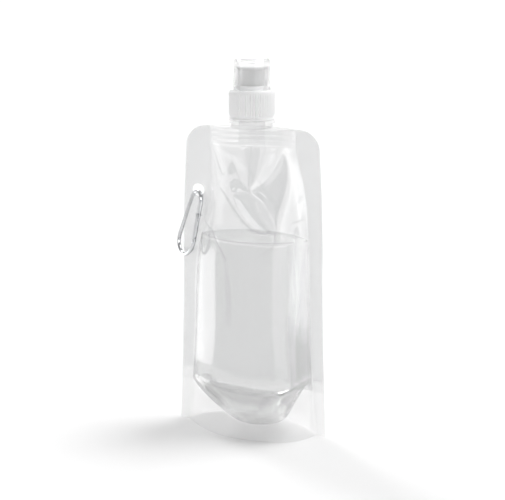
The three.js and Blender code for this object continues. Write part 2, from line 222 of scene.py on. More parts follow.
# ---------- creases ----------
def distance_to(x, z, line):
    """Distance from points to a line of (x, z) corners."""
    nearest = np.full(np.shape(x), 1e9)
    for (x0, z0), (x1, z1) in zip(line, line[1:]):
        dx, dz = x1 - x0, z1 - z0
        t = np.clip(((x - x0) * dx + (z - z0) * dz) / (dx * dx + dz * dz), 0, 1)
        nearest = np.minimum(nearest, np.hypot(x - x0 - t * dx, z - z0 - t * dz))
    return nearest


def depth_inside(x, z, outline):
    """Distance from points inside a closed outline to its edge; 0 or less outside."""
    inside = np.zeros(np.shape(x), bool)
    for (x0, z0), (x1, z1) in zip(outline, outline[1:] + outline[:1]):
        crosses = (z0 > z) != (z1 > z)
        with np.errstate(divide="ignore", invalid="ignore"):
            at = x0 + (z - z0) * (x1 - x0) / (z1 - z0 if z1 != z0 else 1)
        inside ^= crosses & (x < at)
    distance = distance_to(x, z, outline + outline[:1])
    return np.where(inside, distance, -distance)


def rounded(outline, rounds=2):
    """The outline with its corners cut again and again, so that its edges curve."""
    for _ in range(rounds):
        cut = []
        for (x0, z0), (x1, z1) in zip(outline, outline[1:] + outline[:1]):
            cut += [(0.8 * x0 + 0.2 * x1, 0.8 * z0 + 0.2 * z1), (0.2 * x0 + 0.8 * x1, 0.2 * z0 + 0.8 * z1)]
        outline = cut
    return outline


# Hollow facets of the front film round its pinch: outline, how deep in millimetres, and how much painted
# shade they carry, standing in for the darker reflections in them.
FACETS = [
    # the large one to the right
    ([PINCH, (13.3, 185.4), (19.8, 195), (23.6, 204), (25.8, 206), (28.4, 198), (29, 188), (27.6, 178),
      (25, 168), (23.7, 161), (24.4, 148), (21.8, 158.3), (17.9, 166.4), (12.5, 172.9)], 2.6, 0.85),
    # the lighter petal below the pinch
    ([PINCH, (12.5, 172.4), (17.9, 165.8), (21.6, 158), (24, 149), (21, 151.5), (15.6, 157.6), (10, 166.2)],
     1.2, 0.42),
    # the long one down from the pinch
    ([PINCH, (9.6, 166), (15, 157.6), (21.6, 151), (12.3, 152.2), (5.3, 156.8), (-2.4, 165.8), (-10, 177),
      (-3.1, 176.8)], 1.8, 0.7),
    # the blob left of the pinch, with the most painted shade
    ([PINCH, (-1.1, 183.6), (-7.2, 188.2), (-12.2, 183.4), (-10.3, 178), (-3.1, 177)], 1.4, 0.95),
    ([(-10.5, 200), (-7.1, 193.5), (-8, 190.3), (-13.5, 189), (-14.5, 194)], 0.8, 0.6),
    # the strip below the boat, in two halves
    ([PINCH, (2.7, 189.3), (2.9, 199.6), (4.1, 209.5), (10.7, 209.5), (9.8, 203.6), (8.5, 194), (6.6, 185)],
     1.2, 0.55),
    ([(-2.6, 209), (3.4, 209.5), (2.4, 199.6), (2.2, 190), (-0.5, 201.6)], 0.9, 0.5),
    # the long shallow one under water, left of the middle
    ([(-14.5, 135), (-9.6, 124), (-6.6, 108), (-6, 82), (-11, 81), (-11.4, 100), (-12.6, 118)], 0.3, 0.22),
    # small ones near the right weld
    ([(33, 146), (34.2, 154), (37, 155), (38.4, 146)], 0.6, 0.6),
    ([(35, 170), (36.4, 176), (38.8, 177.5), (37.6, 171)], 0.5, 0.5),
]

# Folds that stand proud: line, height, width, and how clear the film is made along them, a painted
# highlight on each fold.
RIDGES = [
    ([(26.2, 206.6), (30.4, 198.4), (32, 188.2), (31.2, 176.5), (28.8, 167), (26.8, 156), (27, 147)],
     1.0, 2.6, 1.0),
    ([(-22, 206.5), (-16, 204), (-8, 201), (-2, 195)], 0.7, 2.8, 0.9),
    ([(17, 207), (15, 199), (11, 190), (6, 182)], 0.8, 2.8, 0.7),
    ([(-28, 207), (-24, 196), (-21.5, 186)], 0.5, 1.4, 0.6),
    ([(-36, 186), (-34, 168), (-31.5, 150)], 0.5, 1.5, 0.5),
]

# Sharp creases: line, height (negative is a groove), and how much painted shade darkens the line.
CREASES = [
    ([(-19.2, 178.8), (-14.5, 174.5), (-5.6, 164.5), (1.4, 157.3), (7.9, 152.4), (13.8, 150.6), (23, 151)],
     -0.5, 1.0),
    ([PINCH, (2.8, 183.5), (2.5, 189.3), (2.7, 199.6), (3.8, 209.5)], -0.5, 0.9),
    ([PINCH, (10, 166.2), (15.6, 157.6), (22.2, 151.3)], 0.5, 0.55),
    ([PINCH, (-3.7, 186), (-7.1, 193.1), (-10.5, 199.4)], -0.3, 0.5),
    ([PINCH, (13.3, 185.4), (19.8, 195), (25.8, 205.9)], 0.4, 0.3),
    ([(-36.3, 153.3), (-25.9, 148.6), (-18, 139), (-11.7, 130.1)], -0.3, 0.7),
    ([(-28.9, 208.5), (-24.5, 200), (-20.4, 191.6), (-18.2, 188.9), (-16.5, 189.4)], -0.25, 0.55),
    ([(22, 151), (23.4, 145), (20, 140), (15, 136)], -0.3, 0.5),
    ([(33, 157.5), (37, 158.5), (39.4, 160)], -0.3, 0.6),
]

# The small v-shaped glints under the boat, painted as highlights: the film is made clearer along these
# lines.
PAINTED_V_GLINTS = [
    [(-6.4, 210.6), (-2.3, 207.9), (1.2, 210.6)],
    [(16.9, 210), (18.6, 207.6), (20.8, 210)],
    [(-31, 207.6), (-29.2, 211), (-25.5, 211.4)],
]

# Buckles of the front film along the slanting welds of the gusset: raised relief, with painted highlights
# where the film is made clearer along them.
GUSSET_RIDGES = [
    ([(-43, 35), (-32, 32.3), (-18.5, 27.8), (-6.7, 20.6), (2.1, 13.6)], 1.6, 1.7, 1.35),
    ([(-36, 36), (-24, 36), (-11.4, 29.4), (-3.1, 23.4), (2.1, 14)], 0.7, 1.3, 1.35),
    ([(43.9, 44.5), (39.6, 36.5), (36.2, 27.8), (33.6, 18.5)], 0.9, 2.2, 1.35),
    ([(37, 36), (32, 34), (29, 28), (32, 20)], 1.3, 2.0, 1.35),
    ([(15, 34.4), (22.1, 36.6), (27, 36)], 0.5, 1.1, 0.8),
    ([(25.8, 37), (26.3, 32.7), (25.3, 28)], 0.4, 0.9, 0.8),
    ([(14.5, 18.9), (18.5, 17.4), (23.2, 14.6)], 0.5, 0.9, 0.9),
    ([(-1, 36.5), (2.5, 35.2), (4.5, 36.2)], 0.4, 1.8, 0.8),
]
# Hollows of the front film over the gusset: outline, how deep in millimetres, and how much painted shade
# they carry.
GUSSET_FACETS = [
    ([(0.4, 20.8), (8, 23), (15.2, 24), (15.3, 19.6), (8, 17.6), (2.1, 17.4)], 0.7, 0.45),
    ([(13.6, 27.5), (18, 32), (22.9, 33), (20, 26), (16.9, 21.8)], 0.7, 0.45),
    ([(28, 25.5), (30, 31), (33, 31), (32, 25)], 0.4, 0.4),
    ([(-20, 33.5), (-8, 28.5), (-12, 33), (-18, 35.5)], 0.4, 0.4),
]

# The long slack folds and creases of the rear film, and its buckles along the gusset: the folds and buckles
# are made clearer, a painted highlight, and the creases carry painted shade.
REAR_RIDGES = [
    ([(-28, 206), (-24, 190), (-26, 170), (-29, 150)], 0.8, 2.4, 0.7),
    ([(22, 206), (14, 192), (4, 182), (-6, 176)], 0.9, 2.6, 0.7),
    ([(24, 204), (27, 188), (30, 168), (33, 148)], 0.6, 2.2, 0.6),
    ([(43, 35), (32, 32.3), (18.5, 27.8), (6.7, 20.6), (-2.1, 13.6)], 0.9, 1.7, 0.9),
    ([(-43.9, 44.5), (-39.6, 36.5), (-36.2, 27.8), (-33.6, 18.5)], 0.8, 2.0, 0.9),
]
REAR_CREASES = [
    ([(-12, 206), (-9, 192), (-2, 183), (8, 170), (18, 158)], -0.7, 0.4),
    ([(6, 206), (2, 194), (-2, 183)], -0.5, 0.4),
    ([(-2, 183), (-14, 172), (-20, 158)], -0.4, 0.35),
]

# Where the water's surface meets the front film: a painted highlight line, the film made clearer along it.
MENISCUS = [
    (-39.2, 142.2), (-14.9, 142.6), (5.3, 142.4), (20.6, 141.6), (27.9, 141.6), (34.2, 143), (39, 144),
]


def front_marks(x, z):
    """Outward relief, painted shade and painted highlights (clearness) of the front film."""
    relief, painted_shade, clear = (np.zeros(np.shape(x)) for _ in range(3))
    for outline, deep, painted_darkness in FACETS + GUSSET_FACETS:
        inside = depth_inside(x, z, rounded(outline))
        relief -= deep * smoothstep(inside, -1.2, 4.5)
        edge = smoothstep(inside, -0.35, 0.9)
        painted_shade = np.maximum(painted_shade, 1.55 * painted_darkness * edge * (1 - 0.2 * smoothstep(inside, 0, 6)))
    for line, height, width, clearness in RIDGES + GUSSET_RIDGES:
        near = np.exp(-((distance_to(x, z, line) / width) ** 2))
        relief += height * near
        clear = np.maximum(clear, clearness * near)
    clear *= 1 - 0.35 * smoothstep(z, 60, 150)
    for line, height, painted_darkness in CREASES:
        away = distance_to(x, z, line)
        relief += height * np.exp(-((away / 0.9) ** 2))
        painted_shade = np.maximum(painted_shade, 1.9 * painted_darkness * np.exp(-((away / 0.55) ** 2)))
    for line in PAINTED_V_GLINTS:
        away = distance_to(x, z, line)
        clear = np.maximum(clear, 1.6 * np.exp(-((away / 0.4) ** 2)))
    clear = np.maximum(clear, 1.2 * np.exp(-((distance_to(x, z, MENISCUS) / 0.55) ** 2)))
    return relief, painted_shade, clear


def ripples(x, z, side):
    """Low waves of the open film, longer up and down than across."""
    wave = 0.16 * np.sin(x / 5.1 + 1.7 * side + 0.9 * np.sin(z / 31))
    wave += 0.12 * np.sin(x / 2.9 + z / 47 + side)
    wave += 0.1 * np.sin(z / 9.3 + x / 17 + 2.1 * side)
    wave += 0.3 * np.sin(x / 8.3 - z / 23 + 0.6 * side) * smoothstep(z, 120, 175)
    return wave


def rear_marks(x, z):
    """Outward relief, painted shade and painted highlights (clearness) of the rear film."""
    relief, painted_shade, clear = (np.zeros(np.shape(x)) for _ in range(3))
    for line, height, width, clearness in REAR_RIDGES:
        near = np.exp(-((distance_to(x, z, line) / width) ** 2))
        relief += height * near
        clear = np.maximum(clear, clearness * near)
    for line, height, painted_darkness in REAR_CREASES:
        away = distance_to(x, z, line)
        relief += height * np.exp(-((away / 1.1) ** 2))
        painted_shade = np.maximum(painted_shade, painted_darkness * np.exp(-((away / 0.7) ** 2)))
    return relief, painted_shade, clear


def marks(x, z, side):
    """Relief, painted shade and painted highlights of a film. Its relief, apart from the ridges over the
    boat's ribs, stays out of the welded bands and off the boat; the painted marks are not held back there.
    """
    relief, painted_shade, clear = front_marks(x, z) if side == FRONT else rear_marks(x, z)
    slack = 1 - smoothstep(np.abs(open_share(x, z, side)), 0.8, 0.98)
    slack = slack * (1 - smoothstep(z, 203, 209)) * smoothstep(z - weld_height(-side * x), -1, 5)
    ribs, painted_shine = boat_ribs(x, z)
    # The welded lower band and the film over the gusset are made clearer, a painted lift of the light
    # there, alongside the painted highlights on the boat's ribs.
    lower_band = 1 - smoothstep(z - weld_height(-side * x), -1.0, 1.2)
    over_gusset = 1 - smoothstep(z - fold_height(-side * x), -4, 0)
    painted_shine = np.maximum(painted_shine, np.maximum(0.8 * lower_band, over_gusset))
    return (relief + ripples(x, z, side)) * slack + ribs, painted_shade, np.maximum(clear, painted_shine)


def boat_ribs(x, z):
    """The film drawn tight over the ribs of the boat: low ridges, with painted highlights along them,
    strongest on the left.
    """
    first, spacing, width = 209.9, 3.667, 0.75
    over = 1 - smoothstep(np.abs(x), 28, 31.5)
    near = np.exp(-(((z - first + spacing / 2) % spacing - spacing / 2) / width) ** 2)
    near = near * over * smoothstep(z, 208.5, 209.6) * (1 - smoothstep(z, 221.2, 222))
    left = smoothstep(-x, 3, 9) * 0.9 + 0.15
    return 0.5 * near, 1.6 * near * left


def film_height(x, z, side):
    return side * (FILM_MIDDLE + bulge(x, z, side) + marks(x, z, side)[0]) + lean(x, z)


def film_points(x, z, side, outwards=0.0):
    """Points of a film, at a distance outwards from its middle."""
    step = 0.05
    y = film_height(x, z, side)
    if outwards == 0:
        return np.stack([x, y, z], -1)
    slope_x = (film_height(x + step, z, side) - film_height(x - step, z, side)) / (2 * step)
    slope_z = (film_height(x, z + step, side) - film_height(x, z - step, side)) / (2 * step)
    size = np.sqrt(slope_x**2 + 1 + slope_z**2) / (side * outwards)
    return np.stack([x - slope_x / size, y + 1 / size, z - slope_z / size], -1)


# ---------- material helpers ----------
def new_material(name):
    made = bpy.data.materials.new(name)
    made.use_nodes = True
    made.node_tree.nodes.clear()
    return made


def node(material, kind, inputs=None, **settings):
    """A node with its settings and inputs; an input is a value, or another node's output."""
    made = material.node_tree.nodes.new(kind)
    for key, value in settings.items():
        setattr(made, key, value)
    for key, value in (inputs or {}).items():
        if isinstance(value, bpy.types.NodeSocket):
            material.node_tree.links.new(value, made.inputs[key])
        else:
            made.inputs[key].default_value = value
    return made


def output(material, shader):
    made = node(material, "ShaderNodeOutputMaterial")
    material.node_tree.links.new(shader, made.inputs["Surface"])


def math_node(material, operation, a, b=0.0, clamp=False):
    return node(
        material, "ShaderNodeMath", {0: a, 1: b}, operation=operation, use_clamp=clamp
    ).outputs[0]


def noise(material, scale, detail=2.0, stretch=(1, 1, 1)):
    """Noise over the object's own coordinates, scale per metre."""
    where = node(material, "ShaderNodeTexCoord").outputs["Object"]
    placed = node(material, "ShaderNodeMapping", {"Vector": where, "Scale": stretch}).outputs[0]
    return node(
        material, "ShaderNodeTexNoise", {"Vector": placed, "Scale": scale, "Detail": detail}
    ).outputs["Fac"]


def between(material, factor, low, high):
    """A number that goes from low to high as factor goes from 0 to 1."""
    return node(
        material, "ShaderNodeMapRange", {"Value": factor, "To Min": low, "To Max": high}
    ).outputs[0]


def grey(material, factor, low, high):
    """A colour between two, by factor."""
    made = node(material, "ShaderNodeMix", data_type="RGBA")
    material.node_tree.links.new(factor, made.inputs[0])
    made.inputs[6].default_value = (*low, 1)
    made.inputs[7].default_value = (*high, 1)
    return made.outputs[2]


def bump(material, height, strength, distance):
    return node(
        material, "ShaderNodeBump", {"Height": height, "Strength": strength, "Distance": distance}
    ).outputs[0]


def sheen(material, straight_on=0.07, grazing=0.8):
    """How much a thin clear sheet mirrors, alike from either side: most at a glancing angle."""
    facing = node(material, "ShaderNodeLayerWeight", {"Blend": 0.5}).outputs["Facing"]
    rise = math_node(material, "POWER", facing, 5.0)
    amount = math_node(material, "MULTIPLY_ADD", rise, grazing)
    amount.node.inputs[2].default_value = straight_on
    return amount


def read(material, name):
    return node(material, "ShaderNodeAttribute", attribute_name=name).outputs["Fac"]


# ---------- materials ----------
def film_material():
    """Clear laminated film: darker where painted shade marks its facets and creases, clearer along painted
    highlights, milky where it is welded, glossy all over.
    """
    made = new_material("clear_film")
    grain = noise(made, 900, 1)
    streaks = noise(made, 70, 2, (1, 1, 0.4))
    painted_shade, clear, milky = (read(made, n) for n in ("painted_shade", "clear", "milky"))
    # how much light goes straight through: 0 darkest, 1 clearest; painted shade lowers it, painted
    # highlights raise it
    through_it = math_node(made, "SUBTRACT", clear, painted_shade)
    through_it = math_node(made, "MULTIPLY_ADD", through_it, 0.5)
    through_it.node.inputs[2].default_value = 0.5
    tint = grey(made, through_it, (0.735, 0.738, 0.742), (0.998, 0.998, 0.998))
    straight = node(made, "ShaderNodeBsdfTransparent", {"Color": tint}).outputs[0]
    normal = bump(made, streaks, 0.2, 0.00025)
    haze = node(
        made,
        "ShaderNodeBsdfPrincipled",
        {
            "Base Color": grey(made, streaks, (0.9, 0.9, 0.905), (0.93, 0.93, 0.935)),
            "Roughness": between(made, streaks, 0.25, 0.4),
            "Normal": normal,
        },
    ).outputs[0]
    amount = math_node(made, "MULTIPLY", between(made, streaks, 0.93, 1.07), milky, True)
    body = node(made, "ShaderNodeMixShader", {0: amount, 1: straight, 2: haze}).outputs[0]
    gloss = node(
        made,
        "ShaderNodeBsdfGlossy",
        {"Color": (1, 1, 1, 1), "Roughness": between(made, grain, 0.11, 0.17), "Normal": normal},
    ).outputs[0]
    film = node(made, "ShaderNodeMixShader", {0: sheen(made), 1: body, 2: gloss}).outputs[0]
    shaded = node(made, "ShaderNodeBsdfTransparent", {"Color": (0.88, 0.88, 0.88, 1)}).outputs[0]
    shadow_ray = node(made, "ShaderNodeLightPath").outputs["Is Shadow Ray"]
    output(made, node(made, "ShaderNodeMixShader", {0: shadow_ray, 1: film, 2: shaded}).outputs[0])
    return made


def glass_like(name, color, ior, roughness, shade, soft, straight):
    """A clear solid that refracts what is behind it; soft is the share that goes straight through,
    tinted straight, and shade is what it lets through of the light on what is under it."""
    made = new_material(name)
    fine = noise(made, 300, 2)
    glass = node(
        made,
        "ShaderNodeBsdfPrincipled",
        {
            "Base Color": grey(made, fine, tuple(c * 0.985 for c in color), color),
            "Roughness": between(made, fine, roughness * 0.6, roughness * 1.4),
            "IOR": ior,
            "Transmission Weight": 1.0,
            "Normal": bump(made, fine, 0.04, 0.0004),
        },
    ).outputs[0]
    plain = node(made, "ShaderNodeBsdfTransparent", {"Color": (straight, straight, straight, 1)})
    share = between(made, fine, soft - 0.04, soft + 0.04)
    glass = node(made, "ShaderNodeMixShader", {0: share, 1: glass, 2: plain.outputs[0]}).outputs[0]
    clear = node(made, "ShaderNodeBsdfTransparent", {"Color": (shade, shade, shade, 1)}).outputs[0]
    shadow_ray = node(made, "ShaderNodeLightPath").outputs["Is Shadow Ray"]
    output(made, node(made, "ShaderNodeMixShader", {0: shadow_ray, 1: glass, 2: clear}).outputs[0])
    return made


def moulded(name, low, high, roughness, subsurface=0.0, clearness=0.0, grain=0.00006):
    """Moulded plastic: slight colour drift, a satin skin and fine grain."""
    made = new_material(name)
    drift = noise(made, 45, 3)
    skin = noise(made, 2600, 2)
    plastic = node(
        made,
        "ShaderNodeBsdfPrincipled",
        {
            "Base Color": grey(made, drift, low, high),
            "Roughness": between(made, noise(made, 160, 3), roughness - 0.06, roughness + 0.08),
            "Subsurface Weight": subsurface,
            "Subsurface Radius": (1, 1, 1),
            "Subsurface Scale": 0.002,
            "IOR": 1.5,
            "Normal": bump(made, skin, 0.5, grain),
        },
    ).outputs[0]
    if clearness:
        clear = node(made, "ShaderNodeBsdfTransparent", {"Color": (1, 1, 1, 1)}).outputs[0]
        place = node(made, "ShaderNodeTexCoord").outputs["Object"]
        height = node(made, "ShaderNodeSeparateXYZ", {"Vector": place}).outputs["Z"]
        # Below the pouch's top edge, where the films shade it, the plastic is made more see-through, a
        # painted lift of the light there.
        amount = between(made, height, clearness + 0.2, clearness)
        amount.node.inputs["From Min"].default_value = 0.2205
        amount.node.inputs["From Max"].default_value = 0.2225
        plastic = node(made, "ShaderNodeMixShader", {0: amount, 1: plastic, 2: clear}).outputs[0]
    output(made, plastic)
    return made


def metal(name, low, high, roughness):
    """Bright plated metal with fine scratches and slightly duller patches."""
    made = new_material(name)
    patches = noise(made, 260, 4)
    scratches = noise(made, 1800, 2, (1, 1, 0.08))
    output(
        made,
        node(
            made,
            "ShaderNodeBsdfPrincipled",
            {
                "Base Color": grey(made, patches, low, high),
                "Metallic": 1.0,
                "Roughness": between(made, patches, roughness * 0.6, roughness * 1.6),
                "Normal": bump(made, scratches, 0.25, 0.00003),
            },
        ).outputs[0],
    )
    return made


def floor_material():
    """Matt white, with a very faint drift."""
    made = new_material("floor")
    fine = noise(made, 3, 2)
    output(
        made,
        node(
            made,
            "ShaderNodeBsdfPrincipled",
            {
                "Base Color": grey(made, fine, (0.86, 0.86, 0.86), (0.88, 0.88, 0.88)),
                "Roughness": between(made, fine, 0.8, 0.9),
                "Specular IOR Level": 0.1,
            },
        ).outputs[0],
    )
    return made


# ---------- the pouch ----------
def punch(made):
    """Opens the punched hole: the faces inside it go, and the edge left is drawn onto its circle."""
    hole_x, hole_z, radius = HOLE
    bm = bmesh.new()
    bm.from_mesh(made.data)

    def away(vertex):
        return math.hypot(vertex.co.x / MM - hole_x, vertex.co.z / MM - hole_z)

    inside = [f for f in bm.faces if min(away(v) for v in f.verts) < radius - 0.2]
    bmesh.ops.delete(bm, geom=inside, context="FACES")
    for vertex in bm.verts:
        reach = away(vertex)
        if vertex.is_boundary and reach < radius + 2:
            scale = radius / reach
            vertex.co.x = (hole_x + (vertex.co.x / MM - hole_x) * scale) * MM
            vertex.co.z = (hole_z + (vertex.co.z / MM - hole_z) * scale) * MM
    bm.to_mesh(made.data)
    bm.free()


def milkiness(x, z, side):
    """How milky a film is: little where it is open, more in the welded bands."""
    welded = smoothstep(np.abs(open_share(x, z, side)), 0.93, 1.02)
    top_band = smoothstep(z, 209.5, 211) * 0.35
    weld = weld_height(-side * x)
    gusset = 1 - smoothstep(z - weld, -1.0, 1.2)
    return 0.05 + 0.16 * np.maximum.reduce([welded * (1 - 0.5 * gusset), top_band, gusset * 0.9])


def make_film(name, side, cad_node, material):
    across = np.linspace(-1, 1, FILM_COLUMNS)
    across = 0.8 * across + 0.2 * np.sin(np.pi * across / 2)
    up = np.linspace(0, 1, FILM_ROWS)
    up = POUCH_TOP * (0.85 * up + 0.15 * np.sin(np.pi * up / 2))
    share, z = np.meshgrid(across, up)
    x = share * half_width(z)
    faces = grid_faces(FILM_ROWS, FILM_COLUMNS)
    if side == REAR:
        faces = [f[::-1] for f in faces]
    made = add_mesh(name, film_points(x, z, side).reshape(-1, 3), faces, material, 180)
    _, painted_shade, clear = marks(x, z, side)
    attribute(made, "painted_shade", painted_shade)
    attribute(made, "clear", clear)
    attribute(made, "milky", milkiness(x, z, side))
    punch(made)
    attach(made, "pouch")
    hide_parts(cad_node)
    return made


def gusset_row(across, up, side):
    """Points of one gusset wall, from the floor (up 0) past the end of the weld to the fold (up 1)."""
    mirrored = -side * across * 57
    fold = fold_height(mirrored if side == FRONT else -mirrored)
    weld = np.minimum(weld_height(mirrored), fold - 1.2)
    if up <= GUSSET_WELDED:
        z = weld * up / GUSSET_WELDED
        return film_points(across * (half_width(z) - 0.2), z, side, -GUSSET_INSET)
    share = (up - GUSSET_WELDED) / (1 - GUSSET_WELDED)
    x = across * (half_width(weld) - 0.2)
    foot = film_points(x, weld, side, -GUSSET_INSET)
    ridge = np.stack([x, lean(x, fold), fold], -1)
    points = foot + (ridge - foot) * share
    reach = np.minimum(np.abs(foot[:, 1] - ridge[:, 1]) / 20, 1)
    points[:, 2] -= 1.6 * math.sin(math.pi * share) * reach
    points[:, 2] += 0.25 * np.sin(x / 3.1 + side + 4 * share) * math.sin(math.pi * share)
    return points


def make_gusset(material):
    """One sheet: up inside the front film, over the fold and down inside the rear film."""
    across = np.linspace(-1, 1, 120)
    heights = np.r_[np.linspace(0, GUSSET_WELDED, 12), np.linspace(GUSSET_WELDED + 0.05, 1, 16)]
    rows = [gusset_row(across, up, FRONT) for up in heights]
    rows += [gusset_row(across, up, REAR) for up in heights[-2::-1]]
    points = np.array(rows)
    faces = grid_faces(len(rows), len(across))
    made = add_mesh("pouch_gusset", points.reshape(-1, 3), faces, material, 180)
    count = len(points.reshape(-1, 3))
    sheet_share = np.abs(np.linspace(-1, 1, len(rows)))[:, None] * np.ones((1, len(across)))
    attribute(made, "painted_shade", np.zeros(count))
    attribute(made, "clear", np.ones(count))
    attribute(made, "milky", 0.03 + 0.05 * smoothstep(sheet_share, 0.5, 0.7))
    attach(made, "pouch")
    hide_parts("bottom_gusset")
    return made


def make_water(material):
    """The water: rings across the pouch, each up the front film, over the surface and down the rear."""
    above_weld = 0.6
    shares = np.sin(np.linspace(-1, 1, 70) * math.pi / 2) * WATER_SHARE
    up = np.linspace(0, 1, 70)
    over = np.linspace(0, 1, 24)[1:-1]
    under = np.linspace(0, 1, 16)[1:-1]
    rings = []
    for share in shares:
        edge = open_right if share > 0 else open_left
        walls = []
        for side in (FRONT, REAR):
            x = share * edge(30)
            weld = float(np.minimum(weld_height(-side * x), fold_height(x) - 1.2))
            z = weld + above_weld + (WATER_LEVEL + WATER_CREEP - weld - above_weld) * up
            x = share * edge(z)
            y = film_height(x, z, side) - side * WATER_GAP
            walls.append(np.stack([x, y, z], -1))
        front, rear = walls
        width = rear[-1, 1] - front[-1, 1]
        top = front[-1] + (rear[-1] - front[-1]) * over[:, None]
        from_wall = np.minimum(over, 1 - over) * width
        top[:, 2] = WATER_LEVEL + WATER_CREEP * np.exp(-from_wall / 1.3)
        bottom = rear[0] + (front[0] - rear[0]) * under[:, None]
        x = bottom[:, 0]
        fold = fold_height(x) + 0.7
        nearness = 1 - np.abs(2 * under - 1)
        ends = np.where(under < 0.5, rear[0, 2], front[0, 2])
        bottom[:, 2] = ends + (fold - ends) * nearness - 1.2 * np.sin(np.pi * nearness)
        bottom[:, 1] = np.where(
            under < 0.5,
            rear[0, 1] + (lean(x, fold) - rear[0, 1]) * nearness,
            front[0, 1] + (lean(x, fold) - front[0, 1]) * nearness,
        )
        rings.append(np.concatenate([front, top, rear[::-1], bottom]))
    count = len(rings[0])
    faces = grid_faces(len(rings), count, around=True)
    faces.append(tuple(range(count)))
    faces.append(tuple(range((len(rings) - 1) * count, len(rings) * count)))
    made = add_mesh("water", np.array(rings).reshape(-1, 3), faces, material, 50)
    outward(made)
    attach(made, "pouch")
    return made


# ---------- the caps ----------
def filleted(outline, radius=0.35, points=3):
    """A closed [radius, z] outline with each corner rounded off."""
    made = []
    for before, (r, z), after in zip(outline[-1:] + outline[:-1], outline, outline[1:] + outline[:1]):
        if r == 0:
            made.append((r, z))
            continue
        ends = []
        for other_r, other_z in (before, after):
            length = math.hypot(other_r - r, other_z - z)
            share = min(radius / length, 0.4)
            ends.append((r + (other_r - r) * share, z + (other_z - z) * share))
        (r0, z0), (r1, z1) = ends
        for k in range(points + 1):
            t = k / points
            a, b, c = (1 - t) ** 2, 2 * t * (1 - t), t**2
            made.append((a * r0 + b * r + c * r1, a * z0 + b * z + c * z1))
    return made


def lathe(outline, segments=96, grip=None):
    """Points and faces of a solid of revolution. grip(r, z) is how far the cap's ribs stand proud."""
    turn = 2 * np.pi * np.arange(segments) / segments
    rows = []
    for r, z in outline:
        reach = np.full(segments, float(r))
        if grip is not None:
            wave = 0.5 + 0.5 * np.cos(CAP_RIBS * turn)
            reach += grip(r, z) * (1 - (1 - wave) ** 1.6)
        height = np.full(segments, z)
        rows.append(np.stack([reach * np.cos(turn), reach * np.sin(turn), height], -1))
    rows.append(rows[0])
    points = np.concatenate(rows)
    return points, grid_faces(len(rows), segments, around=True)


def helix(root, crest, start, steps=90):
    """Points and faces of a thread's ridge, which fades out at both ends."""
    along = np.linspace(0, 1, steps)
    turn = 2 * np.pi * THREAD_TURNS * along
    grown = np.clip(np.minimum(along, 1 - along) * 12 + 0.05, 0, 1)
    section = [(0, -1.0), (0.55, -0.8), (1, -0.35), (1, 0.35), (0.55, 0.8), (0, 1.0)]
    rows = []
    for out, up in section:
        reach = root + (crest - root) * grown * out
        z = start + THREAD_PITCH * THREAD_TURNS * along + up
        rows.append(np.stack([reach * np.cos(turn), reach * np.sin(turn), z], -1))
    points = np.array(rows).transpose(1, 0, 2)
    faces = grid_faces(steps, len(section), around=True)
    faces.append(tuple(range(len(section))))
    faces.append(tuple(range((steps - 1) * len(section), steps * len(section))))
    return points.reshape(-1, 3), faces


def joined(name, shells, material, smooth_angle=38):
    """One object from several closed shells."""
    points, faces = [], []
    for shell_points, shell_faces in shells:
        shift = sum(len(p) for p in points)
        points.append(shell_points)
        faces += [tuple(i + shift for i in face) for face in shell_faces]
    made = add_mesh(name, np.concatenate(points), faces, material, 180)
    bm = bmesh.new()
    bm.from_mesh(made.data)
    bmesh.ops.remove_doubles(bm, verts=bm.verts, dist=0.00001)
    bmesh.ops.dissolve_degenerate(bm, edges=bm.edges, dist=0.000005)
    bmesh.ops.recalc_face_normals(bm, faces=bm.faces)
    bm.to_mesh(made.data)
    bm.free()
    made.data.set_sharp_from_angle(angle=math.radians(smooth_angle))
    return made


def stands_for(made, cad_node, body):
    """Moves the piece with a CAD body, in place of one CAD node."""
    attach(made, body)
    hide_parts(cad_node)


def cap_shell():
    """The ribbed collar, seat ring and chimney."""
    flare = CAP_RADIUS + CAP_FLARE
    seat_inner, seat_outer, seat_top = SEAT_RING
    chimney_inner, chimney_outer, chimney_top = CHIMNEY
    outline = filleted([
        (CAP_INNER, CAP_BOTTOM), (flare, CAP_BOTTOM), (flare, CAP_BOTTOM + 1.1),
        (CAP_RADIUS, CAP_BOTTOM + 1.7), (CAP_RADIUS, CAP_TOP - 1.0), (CAP_RADIUS - 0.7, CAP_TOP),
        (seat_outer, CAP_TOP), (seat_outer, seat_top), (seat_inner, seat_top), (seat_inner, CAP_TOP),
        (chimney_outer, CAP_TOP), (chimney_outer, chimney_top), (chimney_inner, chimney_top),
        (chimney_inner, CAP_UNDERSIDE), (CAP_INNER, CAP_UNDERSIDE),
    ])
    # more rows along the gripped wall, so that its ribs end in a smooth slope
    on_wall = 0.02
    wall = [i for i, (r, z) in enumerate(outline) if abs(r - CAP_RADIUS) < on_wall]
    low = min(outline[i][1] for i in wall)
    high = max(outline[i][1] for i in wall)
    rows = [(CAP_RADIUS, float(z)) for z in np.linspace(low, high, 14)]
    outline = outline[: wall[0]] + rows + outline[wall[-1] + 1 :]

    def grip(r, z):
        if abs(r - CAP_RADIUS) >= on_wall:
            return 0.0
        inside = min(z - (CAP_BOTTOM + 1.9), CAP_TOP - 1.3 - z)
        return CAP_RIB_HEIGHT * float(smoothstep(inside, 0, 0.9))

    return lathe(outline, CAP_RIBS * 8, grip)


